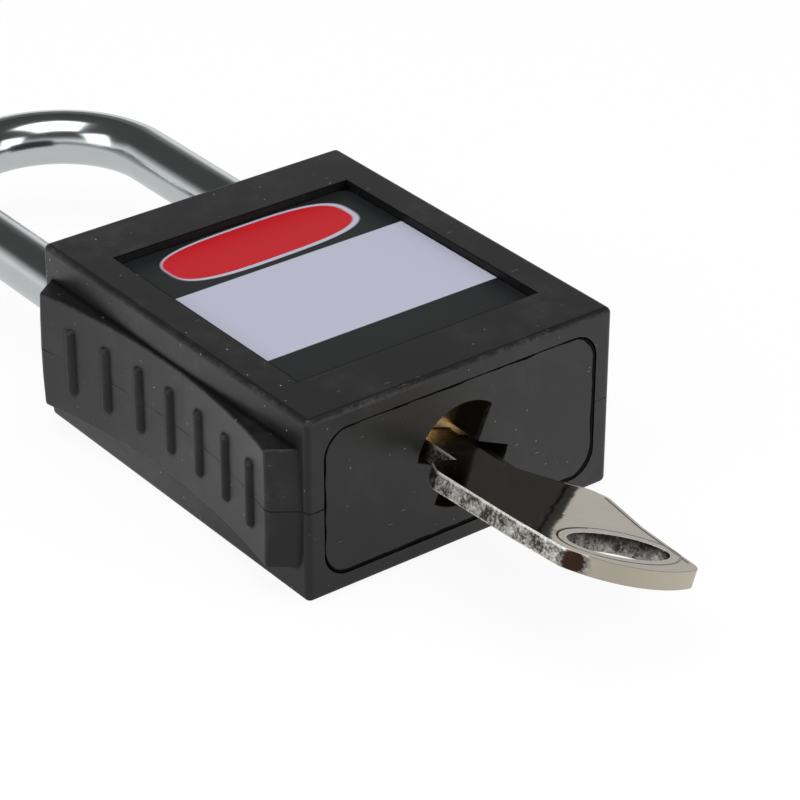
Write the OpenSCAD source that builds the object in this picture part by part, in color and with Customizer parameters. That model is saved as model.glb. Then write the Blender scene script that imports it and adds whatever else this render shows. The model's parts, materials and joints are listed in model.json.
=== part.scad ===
// Lockout padlock with a moulded body, a bent steel shackle and a key standing in its lock.
// Millimetres. The origin is the centre of the back face, +Y points to the shackle, +Z out of the label.

/* [Body shell] */
// Width of the body across the label, without the grip
body_w = 38; // [36:0.5:44]
// Length of the body from the keyhole end to the shackle end
body_l = 46.3; // [45.3:0.5:52.3]
// Thickness of the body from the back face to the label side
body_t = 20.4; // [19.6:0.2:26]
// Radius of the body's outer edges
edge_r = 0.7; // [0.3:0.1:1.2]
// Thickness of the two narrow side walls
side_wall = 2; // [1.6:0.1:2.2]
// Thickness of the back wall, and of the front wall beside the label
face_wall = 1.9; // [1.7:0.1:2.2]
// Thickness of the wall at the shackle end
top_wall = 3; // [2.4:0.1:3.4]
// Radius of the cavity's corners
cavity_r = 3; // [2:0.25:4]

/* [Label] */
// Width of the sunk field for the label
field_w = 29.8; // [24:0.2:32]
// Length of the sunk field along the body
field_l = 32.1; // [24:0.2:38]
// Shift of the field towards the keyhole end
field_shift = 0.15; // [0:0.05:1]
// Depth of the sunk field
field_d = 1.05; // [0.6:0.05:1.2]
// Thickness of the label
label_t = 0.12; // [0.08:0.02:0.3]
// Gap between the label's edge and the field's wall
label_gap = 0.1; // [0.05:0.05:0.5]
// Radius of the label's corners
label_r = 1.5; // [0.5:0.1:3]

/* [Grip] */
// Thickness of the grip pad on the left side, centred on the body's mid-plane
grip_t = 13.3; // [10:0.1:14]
// How far each end of the pad stands out from the side
grip_out = 2.75; // [1.5:0.05:4]
// How far the dished face stands out from the side at mid-length
grip_rise = 0.4; // [0.1:0.05:1]
// Distance from each end of the body to the pad
grip_end_gap = 0.9; // [0.8:0.1:3]
// Length of the slanting facet at each end of the pad
grip_facet = 2.05; // [0.5:0.05:3]
// Lean of the facet's two halves away from the mid-plane, in degrees
grip_draft = 3; // [1:0.5:5]
// Width of the small flat that breaks the pad's tip
grip_tip = 0.35; // [0.1:0.05:0.6]
// Ribs on the pad
rib_count = 7; // [3:2:7]
// Distance from rib to rib
rib_pitch = 5.35; // [3:0.05:6]
// Shift of the ribs towards the keyhole end
rib_shift = 0.4; // [0:0.1:0.8]
// Width of a rib
rib_w = 1.5; // [0.8:0.1:1.6]
// Length of a rib over its round ends
rib_l = 7.9; // [6:0.1:10]
// Height of a rib over the dished face
rib_h = 0.5; // [0.2:0.05:0.6]

/* [Shackle] */
// Diameter of the shackle's bar
bar_d = 6.35; // [5.6:0.05:6.6]
// Distance from the body's side to the centre line of the leg beside it
leg_inset = 6.3; // [6.1:0.1:6.6]
// Free height between the body and the bend
clearance = 38; // [25:1:76]
// Lift of the shackle when the latch bolts are back
lift = 12; // [11:0.5:13]
// Chamfer on the legs' ends
leg_chamfer = 0.6; // [0.3:0.1:1]
// Gap round each leg where it passes the shell
shell_leg_gap = 0.2; // [0.1:0.05:0.3]
// Gap round each leg in the frame's bores
frame_leg_gap = 0.1; // [0.06:0.01:0.2]

/* [Latch] */
// Distance from the body's shackle end down to the latch bolts' centre line
latch_depth = 6.2; // [6:0.1:7]
// Radius of a latch bolt's nose
nose_r = 1.8; // [1.4:0.1:1.9]
// Radius of a latch bolt's head
head_r = 2.3; // [2.1:0.05:2.4]
// Thickness of a latch bolt's head
head_t = 1.4; // [1:0.1:1.6]
// Travel of a latch bolt in a quarter turn
bolt_travel = 1.5; // [1.2:0.1:1.6]
// Smallest radius of the cam
cam_low = 3.4; // [3:0.1:3.6]
// Length of the cam along the lock's axis
cam_l = 5; // [4.6:0.1:5.4]
// Radius of the shaft below the cam
shaft_r = 3; // [2.4:0.1:3.2]
// Wire of a latch spring
latch_wire = 0.4; // [0.3:0.05:0.45]
// Radius of the heel pin
heel_pin_r = 1; // [0.8:0.05:1.1]

/* [Lock cylinder] */
// Outer radius of the cylinder
cylinder_r = 7; // [6.8:0.05:7.1]
// Length of the cylinder
cylinder_l = 22; // [20:0.5:23]
// Radius of the plug
plug_r = 5; // [4.8:0.05:5.1]
// Running gap between the plug and its bore
plug_gap = 0.05; // [0.03:0.01:0.08]
// Depth of the two grooves that catch the wafers
groove_d = 1.1; // [0.8:0.05:1.3]
// Radius of the cylinder pin
cylinder_pin_r = 0.9; // [0.7:0.05:1]

/* [Wafers] */
// Distance from wafer to wafer
wafer_pitch = 3; // [2.4:0.1:3.2]
// Thickness of a wafer
wafer_t = 1; // [0.8:0.1:1.2]
// Width of a wafer across the blade
wafer_w = 5.1; // [4.6:0.1:5.2]
// Wire of a wafer spring
wafer_wire = 0.16; // [0.12:0.02:0.2]

/* [Bottom cover and keyhole] */
// Thickness of the bottom cover
cover_t = 4; // [3:0.25:5]
// Gap between the cover and the shell
cover_gap = 0.15; // [0.08:0.01:0.25]
// Radius of the keyhole
keyhole_r = 5.75; // [5.2:0.05:6]
// Half width of the slot that the keyhole sweeps
slot_half = 1.45; // [1.35:0.05:1.8]
// Direction of the slot with the shackle free, from +X
slot_open = -24.4; // [-26:0.2:-22]
// Direction of the slot after the quarter turn, from +X
slot_locked = 66.8; // [64:0.2:68]
// How far each snap ridge stands out of the cover
snap_h = 0.4; // [0.2:0.05:0.6]

/* [Key] */
// Thickness of the key
key_t = 1.9; // [1.7:0.1:2.2]
// Tilt of the key's plane about the lock's axis, from +X
key_angle = -20; // [-22:0.5:-19]
// Distance of the blade's plain edge from the lock's axis
blade_back = 4.2; // [3.6:0.1:4.4]
// Distance of the blade's cut edge from the lock's axis
blade_front = 4; // [3.6:0.1:4.4]
// Depth of the long groove milled in the blade
blade_groove = 0.8; // [0.4:0.1:0.9]
// Distance of the groove's wall from the lock's axis
groove_edge = 1.25; // [0.8:0.05:2]
// Drop from one cut to the next towards the tip
cut_step = 0.45; // [0.2:0.05:0.5]
// Distance from the cover to the key's bow
bow_start = 3.7; // [3:0.1:6]
// Length of the bow along the lock's axis
bow_l = 25.2; // [20:0.1:30]
// Half width of the bow at its widest, on its plain side
bow_half = 8.9; // [8:0.1:10]
// How much less the bow's half width is on the side of the cuts
bow_less = 0.5; // [0:0.1:1]
// Radius of the bow's rounded tip
bow_tip_r = 11.5; // [9:0.5:20]
// Shift of the rounded tip towards the side of the cuts
bow_tip_shift = 2.6; // [0:0.1:3]
// Half length of the oval ring hole
ring_half_w = 5.4; // [4:0.1:5.6]
// Half width of the oval ring hole
ring_half_h = 2.8; // [2.4:0.1:3]
// Tilt of the ring hole in the bow, its cut side nearer the tip
ring_tilt = 19; // [0:1:20]
// Shift of the ring hole's centre from the lock's axis, away from the cuts
ring_shift = 0.3; // [0:0.1:0.6]
// Distance of the ring hole's centre from the bow's tip
ring_from_tip = 5.7; // [5.4:0.1:8]

/* [Hidden] */
$fn = 64;
// How far joined pieces of one solid run into each other, and how far a cut runs past a face
EPS = 0.01;
OVER = 1;
MID = body_t / 2;
END = -body_l / 2;
TOP = body_l / 2;
BLACK = [0.13, 0.13, 0.13];
CASTING = [0.62, 0.62, 0.6];
STEEL = [0.78, 0.78, 0.8];
BRASS = [0.78, 0.62, 0.3];
NICKEL = [0.74, 0.72, 0.67];

cavity_w = body_w - 2 * side_wall;
cavity_t = body_t - 2 * face_wall;
inner_w = cavity_w - 2 * cover_gap;
inner_t = cavity_t - 2 * cover_gap;
inner_r = cavity_r - cover_gap;
cavity_top = TOP - top_wall;
snap_w = 8;
snap_l = 1;
snap_gap = 0.1;
snap_y = END + cover_t - 1.6 * snap_l;

leg_r = bar_d / 2;
leg_x = body_w / 2 - leg_inset;
bend_y = TOP + clearance - (leg_x - leg_r);
latch_y = TOP - latch_depth;
play = 0.05;

cam_gap = 0.2;
bolt_face = cam_low + cam_gap;
bolt_tip = 0.4;
bolt_gap = 0.06;
nose_back = 0.175;
nose_in = leg_x - leg_r - frame_leg_gap - nose_back;
nose_out = nose_in + bolt_travel;
notch_floor = nose_out + 0.1;
notch_half = nose_r + 0.2;
notch_deep = 4;
waist_gap = 0.05;
waist_r = leg_x - notch_floor - waist_gap;
latch_wall = 1.05;
spring_wall = nose_in - latch_wall;
pocket_r = head_r + 0.15;
latch_turns = 3.5;

end_gap = 0.15;
frame_y = END + cover_t + end_gap;
frame_top = cavity_top - end_gap;
toe_foot = 3;
toe_end = latch_y - notch_half - toe_foot;
waist_y = latch_y - lift;
heel_foot = 2.4;
foot_gap = 0.1;
heel_end = waist_y - notch_half - heel_foot;
heel_pin_y = waist_y - notch_half + lift + heel_pin_r + play;
flat_floor = leg_x + waist_r + waist_gap;
flat_over = 0.35;
heel_pin_x = flat_floor + heel_pin_r + play;
pin_gap = 0.03;
pin_half = cavity_t / 2 - cavity_r + 0.8;

cyl_y = END + cover_t;
cyl_top = cyl_y + cylinder_l;
ring_t = 0.6;
ring_r = 6.2;
ring_mouth = 3.2;
ring_y = cyl_top + play;
plug_top = ring_y + ring_t + 1;
neck_r = 4.2;
neck_cut = 0.8;
key_way_end = cyl_top - 1.8;
cam_high = cam_low + bolt_travel;
cam_hold = 108;
cam_end = 150;
cam_cap = 0.15;
shaft_bore = cam_high + 2 * cam_cap;
shaft_shoulder = cyl_top + 2.2;
cam_y = latch_y - cam_l / 2;
tongue_t = 2;
tongue_d = 2.2;
tongue_gap = 0.1;
cylinder_pin_y = cyl_y + 8;
sweep = 90;
catch_angle = key_angle - sweep;

blade_tip = key_way_end - 0.15;
blade_gap = 0.12;
wafer_first = cyl_y + 3.2;
wafer_slot = 0.05;
groove_gap = 0.3;
wafer_r = plug_r - 0.06;
wafer_count = 5;
tab_w = 3.55;
tab_low = 0.9;
tab_high = 2;
tab_pocket = -2.4;
wafer_spring_r = 0.36;
wafer_turns = 5;

bow_y = END - bow_start;
bow_tip = bow_y - bow_l;
bow_corner_r = 1.4;
groove_run = 6;

// A rectangle with round corners, centred.
module round_rect(w, h, r) {
    square([w - 2 * r, h], center = true);
    square([w, h - 2 * r], center = true);
    for (x = [-1, 1], y = [-1, 1]) translate([x * (w / 2 - r), y * (h / 2 - r)]) circle(r);
}

// An outline in the plane across the lock's axis, drawn as seen from the keyhole, made solid from y0 to y1.
module along_y(y0, y1) {
    translate([0, y1, MID]) rotate([90, 0, 0]) linear_extrude(y1 - y0) children();
}

// A round bar across the body, from x0 to x1 at the height of the latch.
module along_x(x0, x1, r) {
    translate([x0, latch_y, MID]) rotate([0, 90, 0]) cylinder(h = x1 - x0, r = r);
}

// A round bar through the body's thickness.
module along_z(x, y, r, h) {
    translate([x, y, MID]) cylinder(h = h, r = r, center = true);
}

// The body's block, with each edge rounded by the outline that runs across it.
module body_block() {
    intersection() {
        linear_extrude(body_t) round_rect(body_w, body_l, edge_r);
        along_y(END, TOP) round_rect(body_w, body_t, edge_r);
        translate([-body_w / 2, 0, MID]) rotate([90, 0, 90]) linear_extrude(body_w)
            round_rect(body_l, body_t, edge_r);
    }
}

grip_half = TOP - grip_end_gap;
tip_half = grip_half - grip_facet;
dish_sag = grip_out - grip_rise;
dish_r = (tip_half * tip_half + dish_sag * dish_sag) / (2 * dish_sag);
dish_x = body_w / 2 + grip_rise + dish_r;

// How far the dished face lies from the mid-plane at a place along the body.
function dish_at(y) = dish_x - sqrt(dish_r * dish_r - y * y);

// The pad before it is dished, with a facet down to the side at each end.
module grip_pad() difference() {
    side = body_w / 2;
    out = side + grip_out;
    tip_y = tip_half + grip_tip * grip_facet / grip_out;
    translate([0, 0, MID]) linear_extrude(grip_t, center = true) polygon([
        [OVER - side, -grip_half], [-side, -grip_half], [grip_tip - out, -tip_y],
        [-out, grip_tip - tip_half], [-out, tip_half - grip_tip],
        [grip_tip - out, tip_y], [-side, grip_half], [OVER - side, grip_half]
    ]);
    for (end = [0, 1], half = [0, 1])
        translate([-side, 0, MID]) mirror([0, end, 0]) mirror([0, 0, half]) facet_cut();
}

// What is cut from one half of a facet, so that it leans back from the mid-plane.
module facet_cut() {
    translate([0, -grip_half, 0]) rotate([0, 0, -atan2(grip_facet, grip_out)]) rotate([-grip_draft, 0, 0])
        translate([-2 * grip_out, -grip_facet, 0]) cube([2 * grip_out + OVER, grip_facet, grip_t]);
}

module grip_dish() {
    translate([-dish_x, 0, MID]) cylinder(h = grip_t, r = dish_r, center = true, $fn = 256);
}

module grip_ribs() {
    rib_r = rib_w / 2;
    for (i = [0 : rib_count - 1]) {
        y = (i - (rib_count - 1) / 2) * rib_pitch - rib_shift;
        translate([rib_r - rib_h - dish_at(y), y, MID]) {
            cylinder(h = rib_l - rib_w, r = rib_r, center = true, $fn = 24);
            for (s = [-1, 1]) translate([0, 0, s * (rib_l - rib_w) / 2]) sphere(rib_r, $fn = 24);
        }
    }
}

module body_shell() color(BLACK) difference() {
    union() {
        difference() {
            union() {
                body_block();
                grip_pad();
            }
            grip_dish();
        }
        grip_ribs();
    }
    translate([-field_w / 2, -field_l / 2 - field_shift, body_t - field_d])
        cube([field_w, field_l, field_d + OVER]);
    along_y(END - OVER, cavity_top) round_rect(cavity_w, cavity_t, cavity_r);
    for (s = [-1, 1])
        along_y(cavity_top - OVER, TOP + OVER) translate([s * leg_x, 0]) circle(leg_r + shell_leg_gap);
    snap_ridges(cavity_w, snap_gap);
}

// The ridges that hold the cover, grown by a gap for their grooves.
module snap_ridges(width, gap) {
    translate([-width / 2 - snap_h - gap, snap_y - gap, MID - snap_w / 2 - gap])
        cube([width + 2 * (snap_h + gap), snap_l + 2 * gap, snap_w + 2 * gap]);
}

// One of the keyhole's two solid wings, cut so that the slot can sweep from open to locked.
module keyhole_wing() {
    half_angle = (slot_locked - slot_open) / 2;
    reach = keyhole_r + 2;
    rotate((slot_locked + slot_open) / 2) translate([slot_half / sin(half_angle), 0])
        polygon([[0, 0], [reach * cos(half_angle), -reach * sin(half_angle)], [reach, -reach],
                 [reach, reach], [reach * cos(half_angle), reach * sin(half_angle)]]);
}

module bottom_cover() color(BLACK) {
    difference() {
        union() {
            along_y(END, cyl_y - 2 * EPS) round_rect(inner_w, inner_t, inner_r);
            snap_ridges(inner_w, 0);
        }
        along_y(END - OVER, END + cover_t + OVER) difference() {
            circle(keyhole_r);
            keyhole_wing();
            rotate(180) keyhole_wing();
        }
    }
}

module label() color([0.7, 0.71, 0.78])
    translate([0, -field_shift, body_t - field_d]) linear_extrude(label_t)
        round_rect(field_w - 2 * label_gap, field_l - 2 * label_gap, label_r);

// One leg as a turned profile from its chamfered end up to the bend.
module leg(end_y) {
    translate([0, end_y, MID]) rotate([-90, 0, 0]) rotate_extrude()
        polygon([[0, 0], [leg_r - leg_chamfer, 0], [leg_r, leg_chamfer], [leg_r, bend_y - end_y],
                 [0, bend_y - end_y]]);
}

// A square notch across a leg's inner side for a latch bolt's nose.
module latch_notch() {
    translate([notch_floor - notch_deep, latch_y - notch_half, MID - leg_r - OVER])
        cube([notch_deep, 2 * notch_half, bar_d + 2 * OVER]);
}

module shackle() color(STEEL) difference() {
    union() {
        translate([leg_x, 0, 0]) leg(toe_end);
        translate([-leg_x, 0, 0]) leg(heel_end);
        translate([0, bend_y, MID]) rotate_extrude(angle = 180) translate([leg_x, 0]) circle(leg_r);
    }
    latch_notch();
    mirror([1, 0, 0]) latch_notch();
    translate([-leg_x, 0, 0]) along_y(waist_y - notch_half, waist_y + notch_half) difference() {
        circle(leg_r + OVER);
        circle(waist_r);
    }
    translate([-flat_floor - notch_deep, waist_y, MID - leg_r - OVER])
        cube([notch_deep, heel_pin_y + heel_pin_r + flat_over - waist_y, bar_d + 2 * OVER]);
}

module lock_frame() color(CASTING) difference() {
    along_y(frame_y, frame_top) round_rect(inner_w, inner_t, inner_r);
    along_y(frame_y - OVER, plug_top + 0.3) circle(cylinder_r + plug_gap);
    along_y(plug_top, frame_top + OVER) circle(shaft_bore);
    along_y(toe_end - foot_gap, frame_top + OVER) translate([leg_x, 0]) circle(leg_r + frame_leg_gap);
    along_y(heel_end - foot_gap, frame_top + OVER) translate([-leg_x, 0]) circle(leg_r + frame_leg_gap);
    along_x(-leg_x, leg_x, nose_r + bolt_gap);
    along_x(-spring_wall, spring_wall, pocket_r);
    pin_hole(-heel_pin_x, heel_pin_y, heel_pin_r + pin_gap);
    pin_hole(cylinder_r, cylinder_pin_y, cylinder_pin_r + pin_gap);
}

// A hole for a cross pin, open at the frame's back and closed towards its front.
module pin_hole(x, y, r) {
    translate([x, y, face_wall]) cylinder(h = MID - face_wall + pin_half + play, r = r);
}

module heel_pin() color(STEEL) along_z(-heel_pin_x, heel_pin_y, heel_pin_r, 2 * pin_half);

module cylinder_pin() color(STEEL) along_z(cylinder_r, cylinder_pin_y, cylinder_pin_r, 2 * pin_half);

module lock_cylinder() color(BRASS) difference() {
    along_y(cyl_y, cyl_top) circle(cylinder_r);
    along_y(cyl_y - OVER, cyl_top + OVER) circle(plug_r + plug_gap);
    along_y(wafer_first - wafer_t, cyl_top + OVER) rotate(catch_angle)
        square([2 * (plug_r + groove_d), wafer_w + groove_gap], center = true);
    along_z(cylinder_r, cylinder_pin_y, cylinder_pin_r + pin_gap, inner_t + 2 * OVER);
}

// Section of the key's blade, grown by a gap.
module blade_section(gap) {
    difference() {
        translate([-blade_back - gap, -key_t / 2 - gap])
            square([blade_back + blade_front + 2 * gap, key_t + 2 * gap]);
        translate([groove_edge + gap, key_t / 2 - blade_groove + gap])
            square([blade_front, blade_groove + OVER]);
    }
}

function wafer_y(i) = wafer_first + (i - 1) * wafer_pitch;

// Distance of the cut edge from the axis at wafer i.
function cut_at(i) = blade_front - i * cut_step;

module plug() color(BRASS) difference() {
    union() {
        along_y(cyl_y, cyl_top) circle(plug_r);
        along_y(cyl_top - EPS, plug_top) circle(neck_r);
    }
    along_y(cyl_y - OVER, key_way_end) rotate(key_angle) blade_section(blade_gap);
    along_y(ring_y - play, ring_y + ring_t + play) difference() {
        circle(neck_r + OVER);
        circle(neck_r - neck_cut);
    }
    along_y(plug_top - tongue_d - tongue_gap, plug_top + OVER) rotate(key_angle)
        square([3 * plug_r, tongue_t + tongue_gap], center = true);
    for (i = [1 : wafer_count])
        along_y(wafer_y(i) - wafer_t / 2 - wafer_slot, wafer_y(i) + wafer_t / 2 + wafer_slot)
            rotate(key_angle) {
                square([2 * (plug_r + OVER), wafer_w + 2 * wafer_slot], center = true);
                translate([tab_pocket, 0])
                    square([tab_high + 2 * wafer_slot - tab_pocket, tab_w + wafer_slot]);
            }
}

// Split ring in the plug's groove, open on one side.
module plug_ring() color(STEEL) along_y(ring_y, ring_y + ring_t) difference() {
    circle(ring_r);
    circle(neck_r - neck_cut + play);
    rotate(key_angle) translate([ring_r, 0]) square([2 * ring_r, ring_mouth], center = true);
}

module wafer(i) color(BRASS)
    along_y(wafer_y(i) - wafer_t / 2, wafer_y(i) + wafer_t / 2) rotate(key_angle) difference() {
        intersection() {
            circle(wafer_r);
            union() {
                square([2 * plug_r, wafer_w], center = true);
                translate([tab_low, 0]) square([tab_high - tab_low, tab_w]);
            }
        }
        translate([-blade_back - blade_gap, -key_t / 2 - blade_gap])
            square([blade_back + cut_at(i) + 1.5 * blade_gap, key_t + 2 * blade_gap]);
    }

// A wire wound round the local Z axis, swept with a ring of points at each step.
module coil(mean_r, wire, length, turns, steps, sides) {
    last = turns * steps;
    rise = (length - wire) / last;
    ring = [for (k = [0 : last], j = [0 : sides - 1])
        let (a = 360 * k / steps, b = 360 * j / sides, d = mean_r + wire / 2 * cos(b))
            [d * cos(a), d * sin(a), wire / 2 + k * rise + wire / 2 * sin(b)]];
    walls = [for (k = [0 : last - 1], j = [0 : sides - 1])
        [k * sides + j, k * sides + (j + 1) % sides,
         (k + 1) * sides + (j + 1) % sides, (k + 1) * sides + j]];
    polyhedron(ring, concat(walls, [[for (j = [sides - 1 : -1 : 0]) j]],
        [[for (j = [0 : sides - 1]) last * sides + j]]), convexity = 8);
}

module wafer_spring(i) color(STEEL)
    translate([0, wafer_y(i), MID]) rotate([0, -key_angle, 0])
        translate([tab_pocket + play, 0, (wafer_w / 2 + tab_w) / 2]) rotate([0, 90, 0])
            coil(wafer_spring_r, wafer_wire, tab_low - tab_pocket - 2 * play, wafer_turns, 8, 4);

// The cam's outline: the radius grows evenly over the quarter turn, so a bolt moves evenly with the key.
function cam_radius(a) =
    a <= cam_hold ? cam_low + bolt_travel * a / sweep :
    a <= cam_end ? cam_low + bolt_travel * cam_hold / sweep * (cam_end - a) / (cam_end - cam_hold) :
    cam_low;

module cam_shaft() color(CASTING) {
    along_y(cam_y, cam_y + cam_l)
        intersection() {
            polygon([for (k = [0 : 119]) let (a = 3 * k) cam_radius(a % 180) * [cos(a), sin(a)]]);
            circle(cam_high + cam_cap);
        }
    along_y(shaft_shoulder - EPS, cam_y + EPS) circle(shaft_r);
    along_y(plug_top + play, shaft_shoulder) circle(neck_r);
    along_y(plug_top - tongue_d, plug_top + play + EPS) rotate(key_angle) intersection() {
        square([2 * neck_r, tongue_t], center = true);
        circle(neck_r - neck_cut - tongue_gap);
    }
}

module latch_bolt() color(STEEL) {
    along_x(bolt_face, bolt_face + head_t, head_r);
    along_x(bolt_face + head_t - EPS, nose_in - bolt_tip, nose_r);
    translate([nose_in - bolt_tip, latch_y, MID]) rotate([0, 90, 0])
        cylinder(h = bolt_tip, r1 = nose_r, r2 = nose_r - bolt_tip);
}

module latch_spring() color(STEEL) {
    back = bolt_face + head_t;
    length = spring_wall - back - 2 * play;
    translate([back + play, latch_y, MID]) rotate([0, 90, 0])
        coil(nose_r + latch_wire / 2 + 2 * play, latch_wire, length, latch_turns, 16, 6);
}

module latch_bolt_right() latch_bolt();

module latch_bolt_left() mirror([1, 0, 0]) latch_bolt();

module latch_spring_right() latch_spring();

module latch_spring_left() mirror([1, 0, 0]) latch_spring();

// The bow's outline in the key's plane, seen from the label side with the tip at the lowest y.
module bow_outline() {
    plain = -bow_half;
    front = bow_half - bow_less;
    offset(r = bow_corner_r, $fn = 48) offset(delta = -bow_corner_r) difference() {
        polygon([
            [-blade_back, bow_y + 0.3], [plain + 1.2, bow_y], [plain, bow_y - 0.09 * bow_l],
            [plain + 0.7, bow_y - 0.52 * bow_l], [plain + 1.5, bow_y - 0.76 * bow_l],
            [plain + 2.2, bow_tip - OVER], [front - 2.7, bow_tip - OVER],
            [front - 1.7, bow_y - 0.62 * bow_l], [front, bow_y - 0.35 * bow_l],
            [front - 0.7, bow_y - 0.28 * bow_l], [blade_front, bow_y - 0.12 * bow_l]
        ]);
        difference() {
            translate([-bow_half, bow_tip - 2 * OVER]) square([2 * bow_half, bow_l / 3]);
            translate([bow_tip_shift, bow_tip + bow_tip_r]) circle(bow_tip_r, $fn = 96);
        }
    }
}

module ring_hole_outline() {
    translate([-ring_shift, bow_tip + ring_from_tip]) rotate(-ring_tilt) scale([ring_half_w, ring_half_h])
        circle(1, $fn = 48);
}

// The blade's outline with its cuts, which step down towards the tip.
module blade_outline() {
    flat = 0.9;
    polygon(concat(
        [[-blade_back, bow_y - 4], [blade_front, bow_y - 4], [blade_front, wafer_y(1) - flat - cut_step]],
        [for (i = [1 : wafer_count]) each [[cut_at(i), wafer_y(i) - flat], [cut_at(i), wafer_y(i) + flat]]],
        [[cut_at(wafer_count), blade_tip - 2.4], [-0.6, blade_tip], [-2.2, blade_tip],
         [-blade_back, blade_tip - 1.8]]
    ));
}

module key() color(NICKEL) translate([0, 0, MID]) rotate([0, -key_angle, 0]) {
    difference() {
        linear_extrude(key_t, center = true) {
            difference() {
                bow_outline();
                ring_hole_outline();
            }
            blade_outline();
        }
        translate([groove_edge, bow_y - 1, key_t / 2 - blade_groove])
            cube([blade_front, blade_tip - bow_y + 2, blade_groove + OVER]);
        translate([groove_edge, bow_y - 1, key_t / 2 - blade_groove]) rotate([0, 0, -45])
            cube([groove_run, groove_run, blade_groove + OVER]);
    }
}

body_shell();
bottom_cover();
label();
shackle();
lock_frame();
lock_cylinder();
plug();
plug_ring();
cam_shaft();
latch_bolt_left();
latch_bolt_right();
latch_spring_left();
latch_spring_right();
heel_pin();
cylinder_pin();
key();
wafer(1);  // wafer_1
wafer(2);  // wafer_2
wafer(3);  // wafer_3
wafer(4);  // wafer_4
wafer(5);  // wafer_5
wafer_spring(1);  // wafer_spring_1
wafer_spring(2);  // wafer_spring_2
wafer_spring(3);  // wafer_spring_3
wafer_spring(4);  // wafer_spring_4
wafer_spring(5);  // wafer_spring_5
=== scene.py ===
# %% [markdown]
# # A lockout padlock, finished in Blender
#
# A lockout padlock holds a switch or a valve in its safe position while someone works on the machine.
# It has a moulded nylon body, a bent steel shackle, a label field, a ribbed grip and a key.
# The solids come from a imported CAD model. This file loads them as a fixed frame, gives the pieces that
# show a finer mesh and every piece a material, and sets a camera, a floor and soft lamps round them.

# %% Load the frame
import bpy
import bmesh
import json
import math
from itertools import product
from mathutils import Matrix, Vector


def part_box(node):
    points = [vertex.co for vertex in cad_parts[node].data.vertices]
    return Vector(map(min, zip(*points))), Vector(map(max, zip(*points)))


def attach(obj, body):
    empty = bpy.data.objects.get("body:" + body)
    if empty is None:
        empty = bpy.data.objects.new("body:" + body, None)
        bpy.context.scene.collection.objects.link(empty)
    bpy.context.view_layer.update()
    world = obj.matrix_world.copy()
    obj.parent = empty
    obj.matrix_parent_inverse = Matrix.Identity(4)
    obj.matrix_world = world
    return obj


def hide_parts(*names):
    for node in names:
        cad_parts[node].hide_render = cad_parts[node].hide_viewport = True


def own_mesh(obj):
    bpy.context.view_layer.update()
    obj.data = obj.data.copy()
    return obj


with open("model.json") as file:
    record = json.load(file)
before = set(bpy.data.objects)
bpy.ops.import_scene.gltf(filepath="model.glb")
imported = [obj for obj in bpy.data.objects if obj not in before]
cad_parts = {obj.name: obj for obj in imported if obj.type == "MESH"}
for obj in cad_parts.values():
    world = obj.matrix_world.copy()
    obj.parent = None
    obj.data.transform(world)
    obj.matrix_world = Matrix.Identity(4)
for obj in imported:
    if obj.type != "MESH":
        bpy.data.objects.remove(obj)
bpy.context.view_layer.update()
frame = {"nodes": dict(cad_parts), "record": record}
nodes = frame["nodes"]
print("CAD nodes:", len(nodes))

# %% [markdown]
# ## The sizes that the finishing needs
#
# Lengths on a small lock are easier to read in millimetres. MM turns them into metres, and TO_MM turns metres
# into millimetres inside a node tree. The height of the lock's axis and the ends of the body are read from
# the CAD boxes, so that they stay true if the model changes. The key stands in the lock turned by 20 degrees,
# and its flat faces look along KEY_NORMAL.

# %% Sizes read from the model
MM = 0.001
TO_MM = 1000.0


shell_low, shell_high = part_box("body_shell")
label_low, label_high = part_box("label")
AXIS_Z = (shell_low[2] + shell_high[2]) / 2
BODY_END = shell_low[1]
BODY_FRONT = shell_high[2]
KEY_TILT = math.radians(-20)
KEY_NORMAL = (-math.sin(KEY_TILT), 0, math.cos(KEY_TILT))

# %% [markdown]
# ## The camera
#
# The photograph is taken with a long lens from the front left, about 29 degrees above the table.
# The position and the direction were found by fitting a pinhole camera to the eight corners of the body.
# A camera in Blender looks along its own -Z, with +X to the right of the picture and +Y up, so the three
# fitted directions fill the columns of its matrix.

# %% Camera at the photograph's place
LENS_MM = 148.24
SENSOR_MM = 36
CAMERA_AT = (-0.17496, -0.23923, 0.17707)


def new_object(name, data):
    made = bpy.data.objects.new(name, data)
    bpy.context.scene.collection.objects.link(made)
    return made


camera_data = bpy.data.cameras.new("photo_camera")
camera_data.sensor_width = SENSOR_MM
camera_data.lens = LENS_MM
camera = new_object("photo_camera", camera_data)
right = Vector((0.79240964, -0.60997837, 0.00365276))
down = Vector((-0.30291486, -0.3986937, -0.86561303))
ahead = Vector((0.52946156, 0.68481364, -0.50070025))
turn = Matrix((right, -down, -ahead)).transposed()
camera.matrix_world = Matrix.Translation(CAMERA_AT) @ turn.to_4x4()
bpy.context.scene.camera = camera
print("camera at", CAMERA_AT, "lens", LENS_MM)

# %% [markdown]
# ## Sums in a node tree, written as sums
#
# Every material here is a tree of nodes, and most of the nodes are small sums. Added one at a time they are
# hard to read, so a Wire stands for one value in a tree, and a sum on it adds the Math node that does this
# sum. The line `(1.3 - distance / width).clamp()` then reads as it would on paper. A ramp is a straight line
# that is cut off at zero and at one, which is how most masks are made.

# %% Wires and nodes
def feed(socket, value):
    if isinstance(value, Wire):
        value.tree.links.new(value.socket, socket)
    else:
        socket.default_value = value


def both_ways(operation):
    return (lambda self, other: self.math(operation, self, other),
            lambda self, other: self.math(operation, other, self))


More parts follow.
